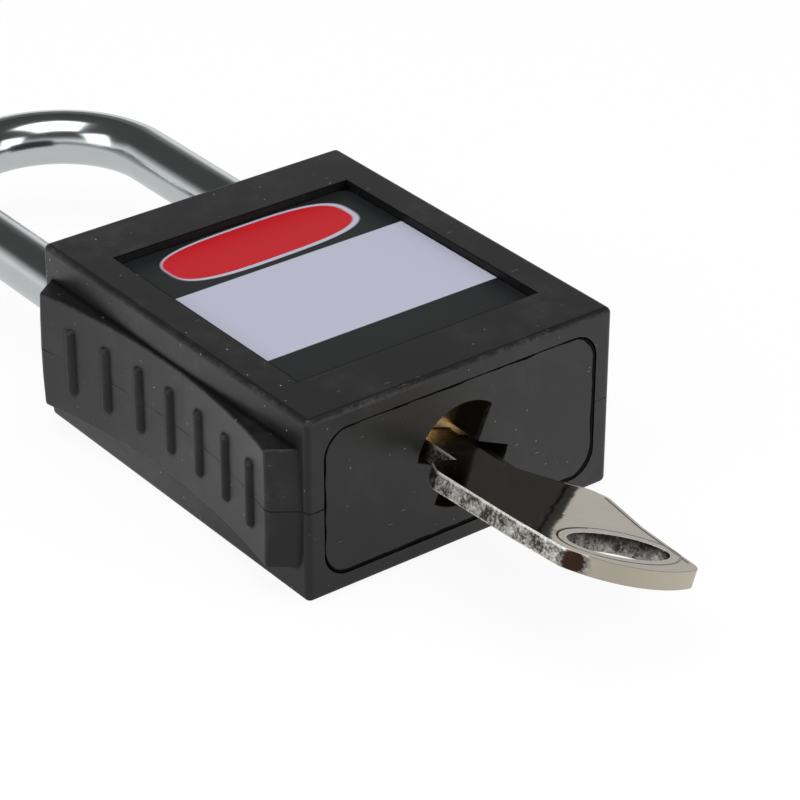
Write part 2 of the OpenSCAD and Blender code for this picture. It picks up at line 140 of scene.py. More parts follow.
class Wire:
    def __init__(self, socket):
        self.socket = socket
        self.tree = socket.id_data

    def math(self, operation, *values, kind="ShaderNodeMath", output=0):
        made = self.tree.nodes.new(kind)
        made.operation = operation
        for socket, value in zip(made.inputs, values):
            feed(socket, value)
        return Wire(made.outputs[output])

    def beside(self, output):
        return Wire(self.socket.node.outputs[output])

    __add__, __radd__ = both_ways("ADD")
    __sub__, __rsub__ = both_ways("SUBTRACT")
    __mul__, __rmul__ = both_ways("MULTIPLY")
    __truediv__, __rtruediv__ = both_ways("DIVIDE")
    __pow__ = both_ways("POWER")[0]

    def __abs__(self):
        return self.math("ABSOLUTE", self)

    def clamp(self):
        self.socket.node.use_clamp = True
        return self

    def ramp(self, gain, offset=0.0):
        return self.math("MULTIPLY_ADD", self, gain, offset).clamp()


def node(tree, kind, output=0, settings=None, **inputs):
    made = tree.nodes.new(kind)
    for name, value in (settings or {}).items():
        setattr(made, name, value)
    for label, value in inputs.items():
        feed(made.inputs[label.replace("_", " ")], value)
    return Wire(made.outputs[output])


print("wires ready")

# %% [markdown]
# ## Small helpers for patterns
#
# Nearly every pattern needs the largest or smallest of some values, a length from two sides, the place on the
# piece, or noise. Patterns are read at Object coordinates, which stay with the piece when it moves, so
# nothing slides in another pose.

# %% Helpers for values and places
def largest(first, *others):
    for other in others:
        first = first.math("MAXIMUM", first, other)
    return first


def smallest(first, *others):
    for other in others:
        first = first.math("MINIMUM", first, other)
    return first


def length_of(across, along):
    squares = across * across + along * along
    return squares.math("SQRT", squares)


def vector_math(operation, first, second, output="Value"):
    return first.math(operation, first, second, kind="ShaderNodeVectorMath", output=output)


def coordinates(tree, kind="Object"):
    known = tree.nodes.get("Texture Coordinate") or tree.nodes.new("ShaderNodeTexCoord")
    return Wire(known.outputs[kind])


def split(vector):
    first = node(vector.tree, "ShaderNodeSeparateXYZ", Vector=vector)
    return [first.beside(axis) for axis in "XYZ"]


def xyz(tree, kind="Object"):
    return split(coordinates(tree, kind))


def mapped(vector, kind="TEXTURE", **inputs):
    return node(vector.tree, "ShaderNodeMapping", 0, {"vector_type": kind}, Vector=vector, **inputs)


def noise(tree, scale, detail=2, roughness=0.5):
    return node(tree, "ShaderNodeTexNoise", "Fac", Vector=coordinates(tree), Scale=scale, Detail=detail,
                Roughness=roughness)


def smooth_step(value, low, high, start=0.0, end=1.0):
    return node(value.tree, "ShaderNodeMapRange", 0, {"interpolation_type": "SMOOTHSTEP"}, Value=value,
                From_Min=low, From_Max=high, To_Min=start, To_Max=end)


print("pattern helpers ready")

# %% [markdown]
# ## Colours and shader groups
#
# Blending lays one colour over another by a mask, and painting does it coat after coat. A Mix node has
# sockets for each kind of value, so its colour sockets are picked by number. A shader group holds an effect
# that several materials share. It is built once, from a rule that is given its inputs as wires, and placed
# in each material with that material's own values.

# %% Helpers for colours and groups
MIX_FIRST, MIX_SECOND, MIX_RESULT = 6, 7, 2


def grey(value):
    return (value, value, value)


def tinted(colour, share):
    return tuple(min(1, part * share) for part in colour)


def blend(share, first, second):
    made = share.tree.nodes.new("ShaderNodeMix")
    made.data_type = "RGBA"
    feed(made.inputs["Factor"], share)
    for number, colour in ((MIX_FIRST, first), (MIX_SECOND, second)):
        feed(made.inputs[number], colour if isinstance(colour, Wire) else (*colour, 1))
    return Wire(made.outputs[MIX_RESULT])


def paint(base, *coats):
    for share, colour in coats:
        base = blend(share, base, colour)
    return base


def add_socket(tree, label, way, kind="Float"):
    return tree.interface.new_socket(label, in_out=way, socket_type="NodeSocket" + kind)


def shader_group(name, inputs, outputs, rule):
    tree = bpy.data.node_groups.new(name, "ShaderNodeTree")
    for label, value in inputs.items():
        add_socket(tree, label, "INPUT").default_value = value
    for label in outputs:
        add_socket(tree, label, "OUTPUT")
    start, end = tree.nodes.new("NodeGroupInput"), tree.nodes.new("NodeGroupOutput")
    results = rule(tree, *[Wire(start.outputs[label]) for label in inputs])
    for label, result in zip(outputs, results):
        feed(end.inputs[label], result)
    print("made group", name)
    return tree


def place(tree, group, **inputs):
    first = node(tree, "ShaderNodeGroup", 0, {"node_tree": group}, **inputs)
    return [Wire(socket) for socket in first.socket.node.outputs]


print("colour and group helpers ready")

# %% [markdown]
# ## Grain of a moulded or cast surface
#
# A moulded face is never perfectly even: the tool leaves a fine grain, and the plastic shrinks in soft
# patches. Two noise patterns give both. The broad one shades the colour and the fine one is height.

# %% Group for surface grain
def grain_rule(tree, grain_mm, patch_mm):
    return noise(tree, TO_MM / patch_mm, detail=3), noise(tree, TO_MM / grain_mm, detail=3)


surface_grain = shader_group("surface_grain", {"Grain mm": 0.2, "Patch mm": 8.0}, ["Shade", "Height"],
                             grain_rule)

# %% [markdown]
# ## Dust specks and handling scratches
#
# The photograph shows small pale specks on the black nylon and short straight scratches. A speck is the core
# of a Voronoi cell, kept only in a few cells that are picked by their random colour. A scratch is the same
# core in a space that is stretched in one direction, so that it becomes a short dash. Two stretched spaces
# with different turns keep the scratches from all running the same way.

# %% Group for specks and scratches
DASH_SCALE = (260, 1500, 1500)
DASH_TURNS = ((0.1, 0.3, 0.5), (0.5, -0.9, 1.3))
DASH_SHARE = 0.2


def cell_cores(vector, scale, reach, share):
    distance = node(vector.tree, "ShaderNodeTexVoronoi", "Distance", Vector=vector, Scale=scale)
    red = node(vector.tree, "ShaderNodeSeparateColor", "Red", Color=distance.beside("Color"))
    core = (1 - distance / reach).clamp().ramp(2.5)
    return core * red.math("LESS_THAN", red, share) * (red.beside("Green") * 0.7 + 0.3)


def handling_rule(tree, spacing_mm, speck, share, scratch):
    spot = coordinates(tree)
    spaces = [mapped(spot, "POINT", Scale=DASH_SCALE, Rotation=turn) for turn in DASH_TURNS]
    dashes = [cell_cores(space, 1.0, scratch, DASH_SHARE) for space in spaces]
    return cell_cores(spot, TO_MM / spacing_mm, speck, share), largest(*dashes)


handling_marks = shader_group("handling_marks", {"Spacing mm": 2.5, "Speck": 0.07, "Share": 0.3,
                                                 "Scratch": 0.1}, ["Specks", "Scratches"], handling_rule)

# %% [markdown]
# ## Smudges of fine dust
#
# Dust that was wiped with a thumb stays on black nylon as a faint grey haze. A detailed noise gives its
# streaks, and a broad noise keeps it in a few patches.

# %% Group for smudges
def smudge_rule(tree, streak_mm, patch_mm, strength):
    streaks = noise(tree, TO_MM / streak_mm, detail=8, roughness=0.68).ramp(5.0, -2.1)
    patches = noise(tree, TO_MM / patch_mm, detail=1, roughness=0.68).ramp(6.0, -2.7)
    return [streaks * patches * strength]


smudges = shader_group("smudges", {"Streak mm": 2.2, "Patch mm": 9.0, "Strength": 0.6}, ["Haze"], smudge_rule)

# %% [markdown]
# ## The parting line of the mould
#
# The two halves of the mould meet at the middle of the body's thickness. They leave a thin, slightly crooked
# line round the sides, over the grip and its ribs. The line is where the height above the back face is
# within a hair of the axis, with a little noise added so that it wanders. A broad noise breaks it up, and it
# is bolder towards the corners, where the mould wears first.

# %% Group for the parting line
CORNERS_FROM = 17 * MM
CORNERS_TO = 21 * MM
FAINTEST = 0.55
WANDER_SCALE, BREAK_SCALE = 450, 260


def parting_rule(tree, height_m, width_mm, wander_mm):
    y, z = xyz(tree)[1:]
    wander = (noise(tree, WANDER_SCALE, detail=4) - 0.5) * wander_mm * 2
    distance = abs((z - height_m) * TO_MM + wander)
    bold = smooth_step(abs(y), CORNERS_FROM, CORNERS_TO, FAINTEST)
    line = (1.3 - distance / (width_mm * bold * 1.6)).clamp()
    worn = noise(tree, BREAK_SCALE).ramp(3.0, -0.7)
    return [line * worn * bold]


parting_line = shader_group("parting_line", {"Height m": 0.01, "Width mm": 0.05, "Wander mm": 0.12}, ["Line"],
                            parting_rule)

# %% [markdown]
# ## The seam round the bottom cover
#
# The cover is pushed into the shell by hand, so its seam is not even: it is wide and dark on the right and
# below, thin and crooked on the left. The dark band is painted shade, drawn on the cover as the distance to a
# rectangle with round corners that sits a little off centre, with noise added so that the border wanders.

# %% Group for the seam's shadow
SEAM_SCALE = 420


def seam_rule(tree, height_m, half_x_mm, half_z_mm, corner_mm, shift_mm, wander_mm):
    x, _, z = xyz(tree)
    across = x * TO_MM + shift_mm
    upward = (z - height_m) * TO_MM - shift_mm
    beyond = [largest(abs(side) - (half - corner_mm), 0.0)
              for side, half in ((across, half_x_mm), (upward, half_z_mm))]
    outside = length_of(*beyond) - corner_mm
    wander = (noise(tree, SEAM_SCALE, detail=3) - 0.5) * wander_mm
    return [(outside + wander).ramp(12.0)]


seam_shadow = shader_group("seam_shadow", {"Height m": 0.01, "Half x mm": 16.6, "Half z mm": 7.9,
                                           "Corner mm": 2.8, "Shift mm": 0.15, "Wander mm": 0.5},
                           ["Seam"], seam_rule)

# %% [markdown]
# ## Worn edges
#
# The rounded edges along the front and the back of the body are rubbed in use. A point lies on such an edge
# where its normal leans between the face and the side, so its upward part is neither near one nor near zero.
# Noise breaks the wear into streaks, and a second, broader noise leaves whole stretches nearly clean. The
# material makes the rubbed streaks lighter, partly as wear and partly as painted highlight, and gives the
# rest of each round painted shade. Where the round begins, a fine dark line of painted shade is drawn.
#
# Sharp edges are found in another way: a Bevel node gives the normal that a rounded edge would have, and the
# edge is where it differs from the true normal. Noise turns that into small bright nicks.

# %% Group for worn edges
STRETCH_MM = 5.0
FOLD_AT = 0.955


def worn_edge_rule(tree, streak_mm, nick_mm, edge_mm):
    upward = abs(xyz(tree, "Normal")[2])
    edge = upward.ramp(5.0, -1.0) * upward.ramp(-8.0, 7.4)
    fold = abs(upward - FOLD_AT).ramp(-30.0, 1.2)
    sizes = streak_mm, STRETCH_MM, nick_mm
    streaks, stretches, nicks = [noise(tree, TO_MM / size, detail=5, roughness=0.7) for size in sizes]
    wear = edge * streaks.ramp(4.0, -1.6) * stretches.ramp(3.6, -1.3)
    rounded = node(tree, "ShaderNodeBevel", 0, {"samples": 4}, Radius=edge_mm * MM)
    alike = vector_math("DOT_PRODUCT", rounded, node(tree, "ShaderNodeNewGeometry", "Normal"))
    sharp = (1 - alike).ramp(9.0)
    return wear, edge, fold, sharp * nicks.ramp(8.0, -4.1)


worn_edges = shader_group("worn_edges", {"Streak mm": 1.2, "Nick mm": 0.35, "Edge mm": 0.12},
                          ["Wear", "Round", "Fold", "Nicks"], worn_edge_rule)

# %% [markdown]
# ## Turning rings on lathe-cut brass
#
# The end faces of the cylinder and the plug are faced on a lathe, which leaves fine rings round the axis.
# The distance from the axis drives a sine wave, and the wave is used as height.

# %% Group for turning rings
def ring_rule(tree, height_m, pitch_mm):
    x, _, z = xyz(tree)
    angle = length_of(x, z - height_m) * (2 * math.pi * TO_MM) / pitch_mm
    return [angle.math("SINE", angle) * 0.5 + 0.5]


turning_rings = shader_group("turning_rings", {"Height m": 0.01, "Pitch mm": 0.12}, ["Rings"], ring_rule)

# %% [markdown]
# ## Fields of colour on the label
#
# The label is a printed film: a dark ground, a pale field to write on and, above it, a red oval with a pale
# rim. Each field is a mask made from the Object coordinates. A box is the smaller of two distances, and an
# oval is a sum of powers a little over three, which is fuller at the ends than an ellipse. The rim is a
# larger oval below the red one. The two colours were not printed exactly over each other, so their centres
# differ by a hair, and both ovals are turned by one degree. A Mapping node moves, turns and shrinks each
# oval to a round of size one, and a narrow ramp keeps the print's edge clean.

# %% Group for the label's fields
RIM_OVAL = (0.33, 11.26), (11.95, 4.3)
RED_OVAL = (0.08, 11.35), (11.55, 3.88)
OVAL_TURN = math.radians(1.1)
OVAL_POWER = 3.1


def oval(spot, centre, half):
    unit = mapped(spot, Location=(*centre, 0), Rotation=(0, 0, OVAL_TURN), Scale=(*half, 1))
    across, along, _ = split(unit)
    return (1 - (abs(across) ** OVAL_POWER + abs(along) ** OVAL_POWER)).ramp(12.0)


def field_rule(tree, low_mm, high_mm):
    spot = vector_math("MULTIPLY", coordinates(tree), (TO_MM, TO_MM, TO_MM), "Vector")
    y = split(spot)[1]
    field = smallest(y - low_mm, high_mm - y).ramp(15.0)
    return largest(field, oval(spot, *RIM_OVAL)), oval(spot, *RED_OVAL)


label_fields = shader_group("label_fields", {"Low mm": -9.9, "High mm": 6.15}, ["Pale", "Red"], field_rule)

# %% [markdown]
# ## The recess round the label
#
# The label lies in a shallow recess whose walls see little of the room. Painted shade darkens those walls
# and draws a fine dark line along the recess's border. A mask finds both: it is one inside the label's own
# box, widened by a hair, and the box is read from the frame. The painted shade is strongest on the lip, where
# the wall meets the front face.

# %% Group for the recess
WALL_SHADE = 0.6
LIP_SHADE = 0.38


def recess_rule(tree, margin_mm):
    spot = xyz(tree)
    room = []
    for axis in (0, 1):
        middle = (label_low[axis] + label_high[axis]) / 2
        half_mm = (label_high[axis] - label_low[axis]) / 2 / MM
        room.append(margin_mm + half_mm - abs(spot[axis] - middle) * TO_MM)
    below = (BODY_FRONT + 0.08 * MM - spot[2]) * TO_MM
    above = (spot[2] - (label_low[2] - 1 * MM)) * TO_MM
    lip = (spot[2] - (BODY_FRONT - 0.12 * MM)).ramp(16 * TO_MM)
    return [smallest(*room, below, above).ramp(20.0) * (lip * LIP_SHADE + WALL_SHADE)]


label_recess = shader_group("label_recess", {"Margin mm": 0.22}, ["Recess"], recess_rule)

# %% [markdown]
# ## The ribs on the dished grip
#
# The grip's face is part of a wide cylinder whose axis runs beside the body. The axis is found from two
# points of the face's upper border. The ribs stand on the hollow side, so they are nearer to the axis than
# the face is, and that tells them from the rest of the shell.

# %% Group for the ribs
def dish_strips(mesh):
    facing_left = [face for face in mesh.polygons if face.normal.x < -0.95 and abs(face.normal.z) < 0.05]
    return [face for face in facing_left if face.center.x < -19.2 * MM]


def dish_circle(mesh):
    spots = [mesh.vertices[v].co for f in dish_strips(mesh) for v in f.vertices]
    border = max(spot.z for spot in spots)
    rim = sorted((spot for spot in spots if spot.z > border - 0.2 * MM), key=lambda spot: abs(spot.y))
    near, far = rim[0], rim[-1]
    axis_x = (far.x ** 2 + far.y ** 2 - near.x ** 2 - near.y ** 2) / (2 * (far.x - near.x))
    return axis_x, math.hypot(near.x - axis_x, near.y)


def rib_rule(tree, above_mm):
    x, y, _ = xyz(tree)
    above = (dish_radius - length_of(x - dish_axis_x, y)) * TO_MM
    return [(above - above_mm).ramp(6.0)]


dish_axis_x, dish_radius = dish_circle(nodes["body_shell"].data)
grip_ribs = shader_group("grip_ribs", {"Above mm": 0.1}, ["Ribs"], rib_rule)
print("dish radius", round(dish_radius / MM, 1), "mm")

# %% [markdown]
# ## Start and end of a material
#
# Each material begins with the same Principled shader. Numbers that hold all over a surface, such as the
# coat's roughness, are set on the shader's own sockets. Patterns reach it only as colour, roughness, metal
# and a Bump node's height, which are joined to it at the end.

# %% Functions that start and end a material
def start_material(name, **values):
    material = bpy.data.materials.new("finish_" + name)
    material.use_nodes = True
    shader = material.node_tree.nodes["Principled BSDF"]
    for label, value in values.items():
        shader.inputs[label.replace("_", " ")].default_value = value
    print("made", material.name)
    return material, material.node_tree, shader


def join(shader, height, depth_mm, **inputs):
    normal = node(height.tree, "ShaderNodeBump", Strength=1.0, Distance=depth_mm * MM, Height=height)
    feed(shader.inputs["Normal"], normal)
    for label, value in inputs.items():
        feed(shader.inputs[label.replace("_", " ")], value)


def reach_inwards(tree, start, over_mm):
    return (xyz(tree)[1] - start).ramp(TO_MM / over_mm)


print("material functions ready")

# %% [markdown]
# ## Black moulded nylon
#
# The body is near-black nylon with a soft sheen. Its colour varies a little in patches, and it carries pale
# specks, fine scratches, smudges, rubbed edges with a painted highlight, painted light on the end face and
# the parting line, which is dark and slightly sunk. Where the rounded edges are not rubbed they get painted
# shade, and so do the ribs. The cover adds painted shade in its seam and on the walls of the keyhole. Painted
# shade also fills the creases beside the ribs and under the ledges, which an occlusion node finds on the
# piece itself. A black base would still mirror the room, so the dark lines and the painted shade also raise
# Metallic: a metal's mirror image has the base colour, and here that is black.

# %% Material for the shell and the cover
NYLON_TINTS = (0.84, 0.84, 0.86), (1.16, 1.16, 1.18)
PAINTED_END_LIGHT = (0.017, 0.0165, 0.0155)
DUST_HAZE = (0.03, 0.0292, 0.0275)
RUBBED_NYLON_AND_HIGHLIGHT = grey(0.08)
SCRATCHED_NYLON = (0.22, 0.22, 0.21)
PALE_DUST = (0.45, 0.45, 0.43)
UNLIT = grey(0.001)
NYLON_ROUGHNESS = 0.31
KEYHOLE_SHADE = 0.65
CREASE_REACH = 0.6 * MM


def make_nylon(name, dark, line_mm, on_cover):
    material, tree, shader = start_material(name, IOR=1.52)
    shade, grain = place(tree, surface_grain, Grain_mm=0.16, Patch_mm=7.0)
    specks, scratches = place(tree, handling_marks, Spacing_mm=1.3, Speck=0.085, Share=0.5, Scratch=0.1)
    wear, rounds, fold, nicks = place(tree, worn_edges, Streak_mm=0.8, Nick_mm=0.35, Edge_mm=0.12)
    [line] = place(tree, parting_line, Height_m=AXIS_Z, Width_mm=line_mm, Wander_mm=0.12)
    # Painted shade of the cover's seam.
    [seam_shade] = place(tree, seam_shadow, Height_m=AXIS_Z)
    [recess] = place(tree, label_recess)
    [ribs] = place(tree, grip_ribs)
    [haze] = place(tree, smudges)
    # Painted shade on the walls of the keyhole, on the cover only.
    keyhole_wall_shade = reach_inwards(tree, BODY_END + 0.2 * MM, 0.4) * (KEYHOLE_SHADE * on_cover)
    # Painted light: faces turned to the keyhole end are made paler.
    end_face_light = xyz(tree, "Normal")[1].ramp(-8.0, -6.8)
    # Painted shade in the creases, found by an occlusion node.
    openness = node(tree, "ShaderNodeAmbientOcclusion", "AO", {"samples": 4, "only_local": True},
                    Distance=CREASE_REACH)
    crease_shade = openness.ramp(-2.2, 2.1)
    spots = largest(specks * 0.9, nicks * (1 - crease_shade).clamp() * 0.35)
    # Painted shade on the rounds where they are not rubbed.
    round_shade = (wear * -0.7 + rounds).clamp() * 0.42
    # Painted shade of the rounds, the fold line, the seam, the keyhole walls, the recess, the ribs and the
    # creases joins the dark parting line.
    lines_and_painted_shade = largest(line * 0.9, round_shade, fold * 0.5, seam_shade * on_cover, keyhole_wall_shade, recess, ribs * 0.3,
                         crease_shade * 0.95)
    low, high = [tinted(tint, dark) for tint in NYLON_TINTS]
    # Rubbed edges are made lighter, partly as wear and partly as painted highlight.
    base = paint(blend(shade, low, high), (end_face_light * 0.5, PAINTED_END_LIGHT), (haze, DUST_HAZE),
                 (wear * 0.6, RUBBED_NYLON_AND_HIGHLIGHT), (scratches * 0.7, SCRATCHED_NYLON), (spots, PALE_DUST),
                 (lines_and_painted_shade, UNLIT))
    rough = shade * 0.12 + NYLON_ROUGHNESS + wear * 0.15 + lines_and_painted_shade * 0.3
    height = grain * 0.25 - line * 1.2
    join(shader, height, depth_mm=0.04, Base_Color=base, Metallic=lines_and_painted_shade * 0.9, Roughness=rough)
    return material


NO_LINE = 0.0001
shell_nylon = make_nylon("shell_nylon", dark=0.007, line_mm=0.07, on_cover=0.0)
cover_nylon = make_nylon("cover_nylon", dark=0.008, line_mm=NO_LINE, on_cover=1.0)

# %% [markdown]
# ## Printed film of the label
#
# The film has a clear gloss over the print, which is a coat on the shader. The pale field has a slight tint
# and a very fine grain of ink, and all three colours get the same faint handling marks.

# %% Material for the label
DARK_GROUND = (0.013, 0.014, 0.015)
PALE_INKS = (0.46, 0.47, 0.59), (0.54, 0.55, 0.665)
RED_INKS = (0.5, 0.006, 0.012), (0.58, 0.01, 0.018)

label_film, tree, shader = start_material("label_film", Roughness=0.42, Specular_IOR_Level=0.3,
                                          Coat_Weight=0.12, Coat_Roughness=0.15)
pale, red = place(tree, label_fields)
shade, grain = place(tree, surface_grain, Grain_mm=0.08, Patch_mm=10.0)
_, scratches = place(tree, handling_marks, Spacing_mm=4.0, Speck=0.03, Share=0.2, Scratch=0.06)
base = blend(pale, DARK_GROUND, blend(grain, *PALE_INKS))
base = paint(base, (red, blend(grain, *RED_INKS)), (scratches * 0.25, grey(0.3)))
join(shader, shade, depth_mm=0.02, Base_Color=base)

# %% [markdown]
# ## Plated steel of the shackle
#
# The bar is polished and plated. What shows on such a bar is mostly the room that it reflects, so the
# material keeps a low roughness with soft cloudy variation and the finest of scratches.

# %% Material for the shackle
STEEL_TINTS = (0.53, 0.56, 0.565), (0.64, 0.67, 0.675)

shackle_steel, tree, shader = start_material("shackle_steel", Metallic=1.0)
shade, grain = place(tree, surface_grain, Grain_mm=0.35, Patch_mm=6.0)
specks, scratches = place(tree, handling_marks, Spacing_mm=5.0, Speck=0.02, Share=0.4, Scratch=0.05)
base = paint(blend(shade, *STEEL_TINTS), (specks * 0.5, grey(0.2)))
rough = shade * 0.08 + 0.13 + scratches * 0.2
join(shader, grain - scratches, depth_mm=0.002, Base_Color=base, Roughness=rough)

# %% [markdown]
# ## The band round the key's ring hole
#
# A raised band runs round the oval ring hole of the key, and a fine line is pressed at its foot. The place of
# both is found from the stretched distance to the hole's centre, which is a mount in the record. The oval is
# turned by 19 degrees in the plane of the key.

# %% Group for the pressed line
def hole_line_rule(tree, half_length_mm, half_width_mm, line_mm):
    across, along, _ = split(mapped(coordinates(tree), Location=HOLE_CENTRE, Rotation=HOLE_TURN))
    length = length_of(across * TO_MM / half_length_mm, along * TO_MM / half_width_mm)
    off = (length - 1) * half_width_mm
    return (1 - abs(off) / line_mm).clamp(), off.ramp(-8.0, 0.5)


HOLE_SLANT = math.radians(-19)
ring_mount = next(m for m in frame["record"]["mounts"] if m["name"] == "key_ring_hole")
HOLE_CENTRE = tuple(ring_mount["pos_m"])
HOLE_TURN = (Matrix.Rotation(-KEY_TILT, 3, "Y") @ Matrix.Rotation(HOLE_SLANT, 3, "Z")).to_euler()
pressed_line = shader_group("pressed_line", {"Half length mm": 6.4, "Half width mm": 3.8, "Line mm": 0.13},
                            ["Line", "Band"], hole_line_rule)

# %% [markdown]
# ## Lines along the key's border
#
# On its right the key's face has a fine pressed line beside the border, and nearer to the lock the border
# itself is rubbed bright. Each is a path of straight stretches in the plane of the key. The distance from a
# stretch is measured to its nearest point: the share of the way along it, cut off at both ends.

# %% Group for the border lines
PRESSED_PATH = (7.7, -35.9), (6.1, -42.4), (5.33, -50.2)
RUBBED_PATH = (5.55, -32.25), (7.5, -33.9), (8.15, -35.5)


def distance_to_stretch(spot, first, last):
    along = Vector((*last, 0)) - Vector((*first, 0))
    offset = vector_math("SUBTRACT", spot, (*first, 0), "Vector")
    share = vector_math("DOT_PRODUCT", offset, along / along.length_squared).ramp(1.0)
    return vector_math("DISTANCE", offset, vector_math("MULTIPLY", share, along, "Vector"))


def border_rule(tree, line_mm):
    in_key = mapped(coordinates(tree), Location=(0, 0, AXIS_Z), Rotation=(0, -KEY_TILT, 0))
    flat = vector_math("MULTIPLY", in_key, (TO_MM, TO_MM, 0), "Vector")
    lines = []
    for path in (PRESSED_PATH, RUBBED_PATH):
        distances = [distance_to_stretch(flat, *ends) for ends in zip(path, path[1:])]
        lines.append((1.3 - smallest(*distances) / line_mm).clamp())
    return lines


border_lines = shader_group("border_lines", {"Line mm": 0.16}, ["Pressed", "Rubbed"], border_rule)

# %% [markdown]
# ## Mottled sides of the key
#
# The key's sides are rough from blanking. Near the lock they are mottled dark and bright, because the
# tumbling did not reach the torn part of the cut, and towards the tip they are smooth and pale. A fine noise
# makes the spots and a broad noise makes clusters of them. The change from one to the other, and one brown
# patch of painted reflection beside it, are placed by Object coordinates.

# %% Group for the mottled sides
REFLECTION_AT = (-0.0066, -0.0475, 0.0126)
CLUSTER_SCALE = 650


def mottle_rule(tree, spot_mm, smooth_from_m):
    spot = coordinates(tree)
    fine = noise(tree, TO_MM / spot_mm, detail=4, roughness=0.65)
    broad = noise(tree, CLUSTER_SCALE, detail=4)
    bright = (broad * 0.9 + fine - 1.02).ramp(2.4, 0.5)
    beyond = (split(spot)[1] - smooth_from_m) * TO_MM
    torn = (beyond + (broad * 3.0 - 1.5)).ramp(1.2, 0.5)
    # A brown patch of painted reflection, placed round one point.
    from_reflection = vector_math("DISTANCE", spot, REFLECTION_AT) * TO_MM
    return bright, torn, (fine * 0.8 + from_reflection).ramp(-2.2, 4.1)


mottled_side = shader_group("mottled_side", {"Spot mm": 0.32, "Smooth from m": -0.0482},
                            ["Bright", "Torn", "Stain"], mottle_rule)

# %% [markdown]
# ## Tumbled nickel of the key: the sides
#
# The sides get the mottling and the painted brown reflection. Beside the mottling their borders are rubbed
# bright, partly as wear and partly as a painted highlight. The wall of the ring hole is sooty at the top and
# cleaner below, so the height above the middle of the key is needed: it is the product of the place with the
# key's normal, less that of the lock's axis. Inside the lock the sides get painted shade in the soot's
# colour.

# %% Colour of the key's sides
TORN_METAL = (0.045, 0.043, 0.036), (0.66, 0.645, 0.6)
SMOOTH_SIDE = (0.63, 0.575, 0.465)
BRIGHT_METAL = (0.9, 0.88, 0.84)
SOOT_AND_SHADE = (0.035, 0.03, 0.024)
BROWN_REFLECTION = (0.06, 0.032, 0.024)


def side_colour(tree, bright, torn, brown_reflection, fine, hole_band, in_lock):
    middle = math.cos(KEY_TILT) * AXIS_Z
    up = (vector_math("DOT_PRODUCT", coordinates(tree), KEY_NORMAL) - middle) * TO_MM
    sooty = hole_band * (up * 0.7 + fine * 1.6).ramp(0.9, -0.35)
    # The borders are rubbed bright, partly as wear and partly as painted highlight.
    border = (abs(up + 0.1) * 6.0 + (fine * 2.0 - 5.3)).clamp()
    border = border * (torn * (1 - hole_band))
    side = blend(torn, SMOOTH_SIDE, blend(bright, *TORN_METAL))
    # Inside the lock the sides get painted shade in the soot's colour.
    return paint(side, (border * 0.8, BRIGHT_METAL), (largest(sooty, in_lock * 0.75), SOOT_AND_SHADE),
                 (brown_reflection, BROWN_REFLECTION))


print("side colour ready")

# %% [markdown]
# ## Tumbled nickel of the key: the whole
#
# The flat faces of the key are smooth and slightly wavy from the press. Whether a point is on a flat face is
# read from the piece's own normal: its product with the key's normal is near one there. The faces then get
# the smooth nickel and the pressed lines, and the sides their own colour. The bevels between them are rubbed
# bright beside the mottling, partly as wear and partly as a painted highlight, and towards the tip they are
# dark. Inside the lock the plating is worn down to the brass in streaks, and the face is rougher.

# %% Material for the key
FACE_NICKEL = (0.297, 0.264, 0.214), (0.36, 0.32, 0.262)
BARE_BRASS = (0.7, 0.5, 0.22)
BEVEL_METAL = (0.1, 0.092, 0.078), (0.92, 0.9, 0.86)
LINE_DIRT = (0.05, 0.047, 0.042)

key_nickel, tree, shader = start_material("key_nickel", Metallic=1.0)
shade, grain = place(tree, surface_grain, Grain_mm=0.5, Patch_mm=4.5)
fine, _ = place(tree, surface_grain, Grain_mm=0.18, Patch_mm=0.7)
specks, scratches = place(tree, handling_marks, Spacing_mm=2.2, Speck=0.035, Share=0.35, Scratch=0.08)
hole_line, hole_band = place(tree, pressed_line)
pressed, rubbed = place(tree, border_lines)
bright, torn, brown_reflection = place(tree, mottled_side)
in_lock = reach_inwards(tree, BODY_END - 0.3 * MM, 1.2)
off_face = 1 - abs(vector_math("DOT_PRODUCT", coordinates(tree, "Normal"), KEY_NORMAL))
side = off_face.ramp(4.0, -2.4)
bevel = off_face.ramp(20.0, -0.4) * (1 - side)
pressed = largest(hole_line, pressed * 0.85)
face = paint(blend(shade, *FACE_NICKEL), (in_lock * fine.ramp(2.4, -0.6), BARE_BRASS))
base = blend(side, face, side_colour(tree, bright, torn, brown_reflection, fine, hole_band, in_lock))
# Bevels are rubbed bright near the lock, with a painted highlight, and dark towards the tip.
base = paint(base, (bevel * (1 - in_lock), blend(torn, *BEVEL_METAL)), (rubbed * 0.7, BRIGHT_METAL),
             (largest(pressed, specks * 0.6) * 0.85, LINE_DIRT))
rough = side * 0.25 + (shade * 0.06 + 0.05) + largest(bevel, rubbed) * 0.4 + scratches * 0.15
rough = rough + reach_inwards(tree, BODY_END - 10 * MM, 8.0) * 0.2
uneven = side * (bright * torn)
height = uneven * 0.35 + (grain * 0.04 + shade * 0.8) + hole_band - (scratches * 0.12 + pressed * 1.3)
join(shader, height, depth_mm=0.06, Base_Color=base, Roughness=rough)

# %% [markdown]
# ## Brass, castings and ground steel inside the lock
#
# The lock's inner pieces show only through the keyhole or when the lock is taken apart, but each has the
# finish of its trade: turned brass with rings, stamped brass wafers, a grey casting with a coarse grain,
# and ground or drawn steel. The lower half of the brass gets painted shade.

# %% Materials for the inner pieces
BRASS_SHADE = (0.03, 0.02, 0.01)
SHADE_BELOW = AXIS_Z - 0.8 * MM


